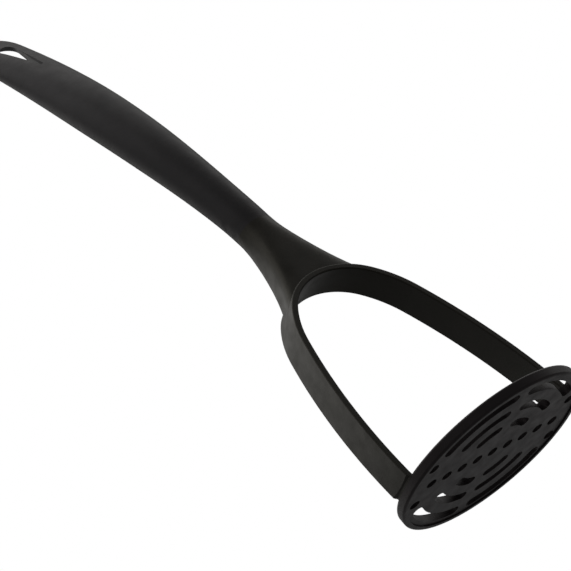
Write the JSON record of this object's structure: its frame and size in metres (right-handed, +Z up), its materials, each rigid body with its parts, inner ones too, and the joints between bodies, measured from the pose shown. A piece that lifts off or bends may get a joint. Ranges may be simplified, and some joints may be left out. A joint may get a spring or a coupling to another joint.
{
  "type": "potato masher",
  "caption": "Hand potato masher: pierced round mashing plate with a rim, leaning arched yoke, flared neck and bent oval grip with a teardrop hanging eye.",
  "frame": {"origin": "middle of the mashing plate's underside, in the plane that the rim stands on", "axes": "+Z up from the plate to the grip, +X from foot to foot of the yoke, +Y the way the grip bends back"},
  "size_m": [0.089, 0.1304, 0.3105],
  "materials": {
    "plate_nylon": "satin black nylon",
    "yoke_nylon": "satin black nylon",
    "handle_nylon": "satin black nylon"
  },
  "bodies": {
    "root": {"mashing_plate": "plate_nylon", "yoke": "yoke_nylon", "handle": "handle_nylon"}
  },
  "joints": []
}
